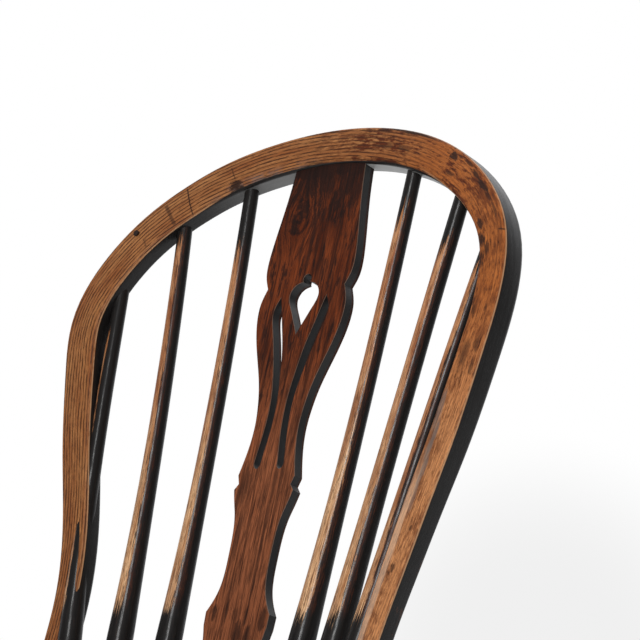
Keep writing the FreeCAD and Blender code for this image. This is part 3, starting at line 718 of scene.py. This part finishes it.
def hoop_finish():
    """Ash worn golden on its flat face, black polish on its sides and back."""
    f = Finish("hoop_finish")
    wood = along, across, deep = f.axes(f.stored("grain"))
    edge = f.stored("across", True)
    sway = f.streaks(wood, 110, 30, 3.0)
    phase = (across + along * 0.03 + deep * 0.4 + (sway - 0.5) * 0.007) * (TURN / HOOP_RING)
    rings = f.wave(phase) * 0.5 + 0.5
    lines = f.ease(rings, 0.45, 0.92) * f.ease(f.streaks(wood, 15, 0.9, 7.0), 0.36, 0.52)
    pores = f.ease(f.streaks(wood, 5.5, 0.42, 1.0), 0.54, 0.66)
    fibre = f.streaks(wood, 26, 0.8, 5.0, 3.0)
    flame = f.streaks(wood, 8, 2.0, 12.0, 4.0, 0.7)
    slow = f.streaks(wood, 70, 11, 9.0, 3.0)
    rub = f.streaks(wood, 16, 9, 2.0, 4.0, 0.65)
    right = f.ease(along, 0.03, 0.15)
    # bare wood, paler at its lower right end, and what is left of the polish on it
    colour = f.tint(f.ease(slow, 0.32, 0.68), (0.33, 0.115, 0.036), (0.56, 0.250, 0.088))
    colour = f.tint(right * 0.75, colour, (0.50, 0.140, 0.026))
    colour = f.tint(f.ease(along, 0.25, 0.38) * 0.8, colour, (0.72, 0.330, 0.135))
    colour = f.tint(f.ease(fibre, 0.36, 0.68) * 0.55, colour, (0.17, 0.048, 0.014))
    dapple = flame + (slow - 0.5) * 0.9 + (rub - 0.5) * 0.7
    patches = f.ease(dapple, 0.42, 0.64) * f.ease(abs(along - 0.095), 0.13, 0.05, 0.60, 1.0)
    colour = f.tint(patches * f.ease(along, -0.04, 0.04, 0.35, 1.0), colour,
                    (0.120, 0.026, 0.008))
    specks = f.ease(flame + (fibre - 0.5) * 0.6, 0.58, 0.70) * f.ease(along, 0.0, 0.05, 0.2, 0.85)
    specks = specks * f.ease(along, 0.42, 0.28, 0.4, 1.0)
    colour = f.tint(specks, colour, (0.040, 0.013, 0.007))
    colour = f.tint(lines * f.ease(right, 0.0, 1.0, 0.92, 0.28), colour, (0.060, 0.020, 0.009))
    colour = f.tint(pores * 0.65, colour, (0.050, 0.017, 0.009))
    # a painted grey sheen along the inner edge near the crown, grey smears, a painted pale sheen on
    # the lower inner edge, stains and scores
    inner = f.ease(edge, -0.35, -0.90)
    # painted sheen: light reflected off the rounded inner edge near the crown
    inner_edge_sheen = inner * f.ease(abs(along + 0.065), 0.065, 0.02) * f.ease(rub + (fibre - 0.5), 0.35, 0.7)
    colour = f.tint(inner_edge_sheen * 0.6, colour, (0.17, 0.165, 0.17))
    feather = (flame - 0.5) * 5.0 + (fibre - 0.5) * 5.0 + (rub - 0.5) * 3.0
    smears = f.stains(along, across, HOOP_SMEARS, feather * 0.6) * f.ease(fibre, 0.2, 0.5)
    colour = f.tint(smears, colour, (0.150, 0.125, 0.112))
    # painted pale sheen of light along the inner half of the face at its lower right end
    pale = f.ease(edge + (fibre - 0.5) * 0.4, -0.25, -0.45) * f.ease(edge, -0.95, -0.75)
    pale = pale * f.ease(along, 0.37, 0.43)
    colour = f.tint(pale * 0.38, colour, (0.82, 0.60, 0.43))
    stains = f.stains(along + (rub - 0.5) * 0.012, across + (rub - 0.5) * 0.003, HOOP_STAINS,
                      feather)
    colour = f.tint(stains * 0.93, colour, (0.024, 0.011, 0.008))
    scores = f.scores(along + (flame - 0.5) * 0.002, across, HOOP_SCORES)
    colour = f.tint(scores, colour, (0.040, 0.017, 0.010))
    # the arris, worn pale with a painted highlight along it, and the black sides behind it, with
    # painted light from the floor on their underside under the crown
    bend = f.ease(abs(along - 0.01), 0.09, 0.15, -0.3, 1.0)
    polish_from = deep + 0.0013 + f.ease(edge, -0.3, -0.8) * bend * 0.0014
    # pale line on the arris: edge wear and a painted highlight
    arris = f.ease(polish_from, 0.0011, 0.0006) * f.ease(polish_from, -0.0002, 0.0002)
    worn = f.most(f.ease(edge, 0.5, 0.8) * f.ease(along, 0.04, 0.13, 0.12, 1.0),
                  f.ease(edge, -0.5, -0.8) * f.ease(abs(along), 0.10, 0.14))
    colour = f.tint(arris * worn * f.ease(rub, 0.25, 0.45) * 0.8, colour, (0.60, 0.35, 0.19))
    side = f.ease(polish_from + (flame - 0.5) * 0.0012, 0.0001, -0.0004)
    chips = f.ease(rub + f.ease(along, 0.33, 0.50) * 0.13, 0.70, 0.78)
    black = f.tint(chips * 0.55, BLACK_POLISH, (0.080, 0.028, 0.014))
    # painted light from the floor on the inner underside near the crown
    under = f.ease(edge, -0.6, -0.9) * f.ease(abs(along - 0.02), 0.16, 0.06)
    under = under * f.ease(deep, -0.0034, -0.0052)
    floor_lit = f.tint(f.ease(abs(along - 0.055), 0.045, 0.025), (0.26, 0.265, 0.26),
                       (0.62, 0.63, 0.62))
    black = f.tint(under * 0.85, black, floor_lit)
    colour = f.tint(side, colour, black)
    rough = f.ease(rub, 0.2, 0.8, 0.40, 0.52) + lines * 0.12
    height = fibre * 0.4 - lines * 0.7 - pores * 0.8 - stains * 0.5
    return f.dress(colour, rough, height, 0.00022, 0.35, side * 0.5 + 0.03, 0.26, 0.13)


# dark stains on the splat's face, in millimetres from the middle of the back
SPLAT_STAINS = [
    (-225, -22.1, 6, 2.2, 0.85), (-222, -10.2, 8, 1.4, 0.8), (-226, 9.1, 8, 1.8, 0.8),
    (-228, 25, 9, 3.6, 0.8), (-239, 2.8, 10, 3.6, 0.85), (-242, 13, 9, 3.0, 0.8),
    (-128, -18.5, 15, 3.6, 0.6), (-124, 9.7, 17, 2.2, 0.55), (-150, 9.0, 16, 2.0, 0.5),
    (-166, -15, 20, 1.6, 0.6), (-185, 9.4, 32, 1.6, 0.6), (112, -18, 9, 8.5, 0.62),
    (111, 4, 10, 4.0, 0.85), (104, 29, 15, 4.0, 0.85), (117, 20, 5, 12, 0.6),
    (66, -3.4, 24, 1.7, 0.8), (88.5, -19.9, 5, 2.0, 0.9), (60, -12, 12, 1.2, 0.6),
    (92, 18, 24, 1.1, 0.55), (40, 12, 16, 1.4, 0.5)]
# the knot high on its left, in metres along and across the grain
KNOT_AT = (0.0865, -0.0205)
KNOT_HALF = (0.0150, 0.0100)


def splat_finish():
    """Red-brown polish streaked dark along the grain, black cut edges, a pale arris that is partly
    worn and partly a painted highlight.
    """
    f = Finish("splat_finish")
    along, across, deep = f.axes(f.stored("grain"))
    plain = along, across, deep
    rub = f.streaks(plain, 12, 8, 6.0, 4.0, 0.65)
    knot = (((along + (rub - 0.5) * 0.012 - KNOT_AT[0]) / KNOT_HALF[0]) ** 2
            + ((across + (rub - 0.5) * 0.008 - KNOT_AT[1]) / KNOT_HALF[1]) ** 2) ** 0.5
    near = f.ease(knot, 2.6, 0.5)
    wood = along, across - (across - KNOT_AT[1]) * near * 0.8, deep
    streak = f.ease(f.streaks(wood, 55, 2.6, 7.7, 3.0), 0.48, 0.62)
    lines = f.ease(f.streaks(wood, 18, 0.7, 2.0), 0.48, 0.62)
    fibre = f.streaks(wood, 30, 1.2, 4.0, 3.0)
    slow = f.streaks(wood, 60, 10, 1.0, 3.0)
    smoke = f.streaks(wood, 26, 4.6, 2.0, 5.0, 0.66)
    fleck = f.streaks(wood, 7, 1.6, 5.0, 3.0, 0.65)
    low = f.ease(along, 0.00, -0.13)
    high = f.ease(along, 0.060, 0.122)
    colour = f.tint(f.ease(slow, 0.3, 0.7), (0.075, 0.0145, 0.0050), (0.260, 0.056, 0.015))
    colour = f.tint(low * 0.85, colour, (0.400, 0.135, 0.058))
    colour = f.tint(f.ease(fibre, 0.35, 0.70) * 0.6, colour, (0.070, 0.018, 0.008))
    colour = f.tint(streak * f.ease(low, 0.0, 1.0, 0.75, 0.55), colour, (0.026, 0.009, 0.006))
    colour = f.tint(lines * 0.6, colour, (0.034, 0.012, 0.007))
    rings = f.ease(f.wave(knot * 9.5 - 1.2), 0.1, 0.9) * f.ease(knot, 1.30, 1.0)
    colour = f.tint(rings * f.ease(fibre + fleck, 0.7, 1.1) * 0.85, colour, (0.022, 0.008, 0.006))
    feather = (fleck - 0.5) * 3.0 + (fibre - 0.5) * 3.0
    cloud = smoke + (fleck - 0.5) * 0.35
    dark = f.ease(cloud + high * 0.14, 0.50, 0.64) * f.ease(low, 0.0, 1.0, 0.92, 0.45)
    stains = f.stains(along, across, SPLAT_STAINS, feather)
    top = f.ease(along + (smoke - 0.5) * 0.026 + (fleck - 0.5) * 0.008, 0.1150, 0.1190)
    dark = f.most(f.most(dark, stains), top)
    colour = f.tint(dark * 0.9, colour, (0.015, 0.0085, 0.0075))
    behind = f.ease(deep, -0.0074, -0.0079)
    walls = f.ease(deep, -0.0006, -0.0009) * (1.0 - behind * f.ease(deep, -0.0060, -0.0100))
    colour = f.tint(behind * 0.6, colour, (0.022, 0.011, 0.008))
    colour = f.tint(walls, colour, (0.021, 0.0208, 0.0205))
    # pale line on the arris: edge wear and a painted highlight
    arris = f.ease(deep, -0.0009, -0.0005) * f.ease(deep, -0.00002, -0.00012)
    colour = f.tint(arris * f.ease(rub, 0.22, 0.45) * 0.7, colour, (0.36, 0.24, 0.17))
    rough = f.ease(rub, 0.2, 0.8, 0.38, 0.50) + walls * 0.1
    height = fibre * 0.5 - lines * 0.5
    return f.dress(colour, rough, height, 0.0002, 0.35, walls * 0.5 + 0.03, 0.25, 0.10)


def spindle_finish():
    """Round sticks worn to bare tan wood in front, black elsewhere and at both ends."""
    f = Finish("spindle_finish")
    along, front, side = f.axes(f.stored("grain"))
    lot, bare, below = [f.stored(name, True) for name in ("lot", "bare", "below")]
    turn = f.node("ShaderNodeMath", {"operation": "ARCTAN2"}, {0: side, 1: front})
    patch = f.noise(f.vector(along * 14.0, turn * 0.9, lot), 3.0, 0.6)
    fleck = f.noise(f.vector(along * 110.0, turn * 9.0, lot + 3.0), 4.0, 0.7)
    grain = f.noise(f.vector(along * 24.0, turn * 6.5, lot + 9.0), 4.0, 0.7)
    fine = f.noise(f.vector(along * 75.0, turn * 11.0, lot + 5.0), 2.0, 0.6)
    ragged = (patch - 0.5) * 0.6 + (fleck - 0.5) * 0.9 + (grain - 0.5) * 1.1
    pale = f.tint(f.ease(grain, 0.36, 0.62), (0.42, 0.180, 0.070), (0.95, 0.60, 0.33))
    pale = f.tint(f.ease(below, 0.26, 0.10) * 0.55, pale, (0.46, 0.165, 0.058))
    pale = f.tint(f.ease(patch + (grain - 0.5) * 0.9, 0.44, 0.64)
                  * f.ease(below, 0.34, 0.14, 0.40, 0.85), pale,
                  (0.235, 0.062, 0.020))
    pale = f.tint(f.ease(fine, 0.53, 0.64) * 0.75, pale, (0.100, 0.034, 0.014))
    pale = f.tint(f.ease(fleck + (grain - 0.5) * 0.6, 0.56, 0.68) * 0.75, pale,
                  (0.045, 0.017, 0.009))
    mid = f.tint(f.ease(fleck, 0.38, 0.60), (0.080, 0.024, 0.012), (0.018, 0.009, 0.007))
    worn = f.ease(abs(turn + 0.35) + ragged - bare, 0.05, -0.10)
    brown = f.ease(abs(turn + 0.20) + ragged - bare, 0.50, 0.15) * f.ease(bare, 0.2, 0.6)
    colour = f.tint(brown * 0.9, BLACK_POLISH, mid)
    colour = f.tint(worn, colour, pale)
    fringe = f.noise(f.vector(lot * 2.3, 0.31, 0.77), 0.0) * 0.10 + (patch - 0.5) * 0.05
    fringe = fringe + (fleck - 0.5) * 0.02 + (grain - 0.5) * 0.08 - (turn + 0.3) * 0.012
    ends = f.most(f.ease(below, fringe + 0.014, fringe + 0.004),
                  f.ease(along + (fleck - 0.5) * 0.03 + (grain - 0.5) * 0.05, 0.092, 0.084))
    colour = f.tint(ends, colour, f.tint(f.ease(fleck, 0.55, 0.75) * 0.5, BLACK_POLISH,
                                         (0.045, 0.017, 0.011)))
    rough = f.ease(fleck, 0.2, 0.8, 0.42, 0.60)
    polish = f.ease(fleck + (grain - 0.5) * 0.5, 0.35, 0.65, 0.08, 0.60)
    return f.dress(colour, rough, grain * 0.6 - fine * 0.4, 0.0002, 0.3, polish, 0.15, 0.15)


def board_finish(name, centre, turn, light, mid, dark, ring_mm, seed, wear=None):
    """Wood on a piece of the chair that keeps its own shape: grain along its own length."""
    f = Finish(name)
    spot = f.node("ShaderNodeTexCoord", None, None, "Object")
    spot = f.node("ShaderNodeMapping", {"vector_type": "TEXTURE"},
                  {"Vector": spot, "Location": centre, "Rotation": turn})
    across, deep, along = f.axes(spot)
    wood = along, across, deep
    sway = f.streaks(wood, 120, 30, seed)
    phase = (across + deep * 0.35 + (sway - 0.5) * 0.004 * ring_mm) * (TURN / (ring_mm * MM))
    lines = f.ease(f.wave(phase) * 0.5 + 0.5, 0.5, 0.96)
    lines = lines * f.ease(f.streaks(wood, 18, 1.0, seed + 1.0), 0.36, 0.58)
    pores = f.ease(f.streaks(wood, 6, 0.5, seed + 2.0), 0.57, 0.68)
    fibre = f.streaks(wood, 30, 1.0, seed + 3.0, 3.0)
    slow = f.streaks(wood, 60, 14, seed + 4.0, 3.0)
    rub = f.streaks(wood, 14, 9, seed + 5.0, 4.0, 0.65)
    colour = f.tint(f.ease(slow, 0.3, 0.7), mid, light)
    colour = f.tint(f.ease(fibre, 0.35, 0.8) * 0.5, colour, dark)
    colour = f.tint(lines * 0.65, colour, dark)
    colour = f.tint(pores * 0.5, colour, dark)
    if wear is not None:
        colour = wear(f, colour, wood, rub)
    rough = f.ease(rub, 0.2, 0.8, 0.40, 0.56) + lines * 0.1
    height = fibre * 0.5 - lines * 0.6 - pores * 0.5
    return f.dress(colour, rough, height, 0.00025, 0.35, 0.06, 0.35, 0.3)


def turned_wear(f, colour, wood, rub):
    """Polish rubbed off the fat parts, and black left in the grooves and thin necks."""
    along, across, deep = wood
    girth = (across ** 2 + deep ** 2) ** 0.5 + (rub - 0.5) * 0.005
    colour = f.tint(f.ease(girth, 0.0160, 0.0195) * 0.75, colour, (0.36, 0.150, 0.062))
    return f.tint(f.ease(girth, 0.0158, 0.0138) * 0.85, colour, BLACK_POLISH)


def dress_cad(node, finish):
    """Give a finish to a piece that keeps the drawing's own shape."""
    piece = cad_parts[node]
    piece.data.materials.clear()
    piece.data.materials.append(finish)


def axis_turn(first, last):
    """Turn that lays local Z along a line, as the Mapping node wants it."""
    way = (Vector(last) - Vector(first)).normalized()
    return tuple(way.to_track_quat("Z", "X").to_euler("XYZ"))


# tops and feet of the right-hand legs, in metres, and the ways in which the stretchers run
LEG_ENDS = {"front": ((0.134, -0.1861548, 0.399), (0.184, -0.2461548, 0.0)),
            "back": ((0.108, 0.0618452, 0.399), (0.160, 0.1498452, 0.0))}
STRETCHER_WAYS = {"left": (0.0727, 0.99, -0.0446), "right": (-0.0727, 0.99, -0.0446),
                  "cross": (1, 0, 0)}
# light, middle and dark colours of each wood, and the width of its growth rings in millimetres
TURNED_COLOURS = ((0.15, 0.050, 0.022), (0.095, 0.032, 0.016), (0.020, 0.011, 0.008))
SEAT_COLOURS = ((0.26, 0.105, 0.042), (0.17, 0.062, 0.025), (0.045, 0.018, 0.010))
PEG_COLOURS = ((0.03, 0.014, 0.009), (0.018, 0.010, 0.008), (0.008, 0.006, 0.005))
TURNED_RING, SEAT_RING, PEG_RING = 5.0, 14.0, 2.0
FIRST_SEED, SEED_STEP, SEAT_SEED = 11.0, 3.0, 40.0


def seat_wear(f, colour, wood, rub):
    """Dark round the rim and underneath, lighter where it is sat on."""
    x, y, z = f.axes(f.node("ShaderNodeTexCoord", None, None, "Object"))
    ring = ((x / 0.20) ** 2 + ((y + 0.058) / 0.196) ** 2) ** 0.5
    rim = f.ease(ring + (rub - 0.5) * 0.5, 0.62, 0.98)
    colour = f.tint(rim * 0.72, colour, (0.040, 0.016, 0.010))
    arris = f.ease(z + (rub - 0.5) * 0.004, 0.4300, 0.4335) * f.ease(ring, 0.93, 0.97)
    colour = f.tint(arris * 0.6, colour, (0.36, 0.165, 0.070))
    under = f.ease(z + (rub - 0.5) * 0.006, 0.424, 0.414)
    return f.tint(under * 0.6, colour, (0.030, 0.014, 0.010))


def dress_frame():
    """Finishes on the seat, legs, stretchers and small pieces."""
    seed = FIRST_SEED
    for where, (top, foot) in LEG_ENDS.items():
        for word, side in (("left", -1), ("right", 1)):
            node = "leg_" + where + "_" + word
            a, b = [(side * x, y, z) for x, y, z in (top, foot)]
            dress_cad(node, board_finish(node + "_finish", a, axis_turn(b, a),
                                         *TURNED_COLOURS, TURNED_RING, seed, turned_wear))
            seed += SEED_STEP
    for word, way in STRETCHER_WAYS.items():
        node = "stretcher_" + word
        low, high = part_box(node)
        dress_cad(node, board_finish(node + "_finish", tuple((low + high) / 2),
                                     axis_turn((0, 0, 0), way), *TURNED_COLOURS,
                                     TURNED_RING, seed))
        seed += SEED_STEP
    dress_cad("seat", board_finish("seat_finish", (0.03, 0, 0.20), (-math.pi / 2, 0, 0),
                                   *SEAT_COLOURS, SEAT_RING, SEAT_SEED, seat_wear))
    for node in ("wedge_left", "wedge_right", "hoop_peg"):
        dress_cad(node, board_finish(node + "_finish", (0, 0, 0), (0.2, 0.1, 0),
                                     *PEG_COLOURS, PEG_RING, seed))
        seed += SEED_STEP


def set_camera():
    lens = FOCAL_PIXELS * SENSOR / FRAME_PIXELS
    camera = bpy.data.cameras.new("camera")
    camera.lens = lens
    camera.sensor_width = SENSOR
    camera.clip_start = 0.01
    holder = bpy.data.objects.new("camera", camera)
    bpy.context.collection.objects.link(holder)
    way = Vector((-math.sin(CAMERA_TURN) * math.cos(CAMERA_TILT),
                  math.cos(CAMERA_TURN) * math.cos(CAMERA_TILT), math.sin(CAMERA_TILT)))
    holder.rotation_euler = way.to_track_quat("-Z", "Y").to_euler()
    holder.location = CAMERA_AT
    bpy.context.scene.camera = holder


def set_studio():
    """White room, a pale floor, a tall soft light in front to the right and one overhead."""
    world = bpy.data.worlds.new("studio")
    world.use_nodes = True
    bpy.context.scene.world = world
    room = Nodes(world.node_tree)
    way = room.node("ShaderNodeTexCoord", None, None, "Generated")
    shade = room.ease(room.facing(way, SHADED_WAY), 0.9945, 0.9995) * 0.13
    seen = room.tint(shade, (1.0, 1.0, 1.0), (0.0, 0.0, 0.0))
    behind = room.ease(room.facing(way, BEHIND_WAY), 0.15, 0.95, 0.14, 1.0)
    glow = room.tint(behind, (0.0, 0.0, 0.0), (1.0, 1.0, 1.02))
    camera_ray = room.node("ShaderNodeLightPath", None, None, "Is Camera Ray")
    seen = room.tint(camera_ray, glow, seen)
    sky = world.node_tree.nodes["Background"]
    world.node_tree.links.new(seen.socket, sky.inputs[0])
    bpy.context.scene.view_settings.view_transform = "Standard"
    bpy.ops.mesh.primitive_plane_add(size=8.0, location=(0, 0, 0))
    floor = new_piece("floor")
    finish = Finish("floor_finish")
    cloud = finish.noise(finish.node("ShaderNodeTexCoord", None, None, "Object"), 2.0)
    colour = finish.tint(cloud, (0.86, 0.865, 0.87), (0.90, 0.90, 0.90))
    floor.data.materials.append(finish.dress(colour, cloud * 0.1 + 0.6))
    for name, (place, size, power) in LIGHTS.items():
        soft_light(name, place, size, power)


def soft_light(name, place, size, power):
    light = bpy.data.lights.new(name, "AREA")
    light.shape = "RECTANGLE"
    light.size, light.size_y = size
    light.energy = power
    holder = bpy.data.objects.new(name, light)
    bpy.context.collection.objects.link(holder)
    holder.location = place
    way = Vector(LIT_PLACE) - holder.location
    holder.rotation_euler = way.to_track_quat("-Z", "Y").to_euler()


bent_ash = hoop_finish()
ridden(make_hoop(), bent_ash, "ash_hoop", "hoop")
for side in (-1, 1):
    ridden(make_tenon(side), bent_ash, "ash_hoop", "hoop")
ridden(make_splat(), splat_finish(), "splat_wood", "splat")
stick_finish = spindle_finish()
for order, name in enumerate(SPINDLES):
    ridden(make_spindle(name, order), stick_finish, "spindle_wood", "spindle_" + name)
dress_frame()
set_studio()
set_camera()
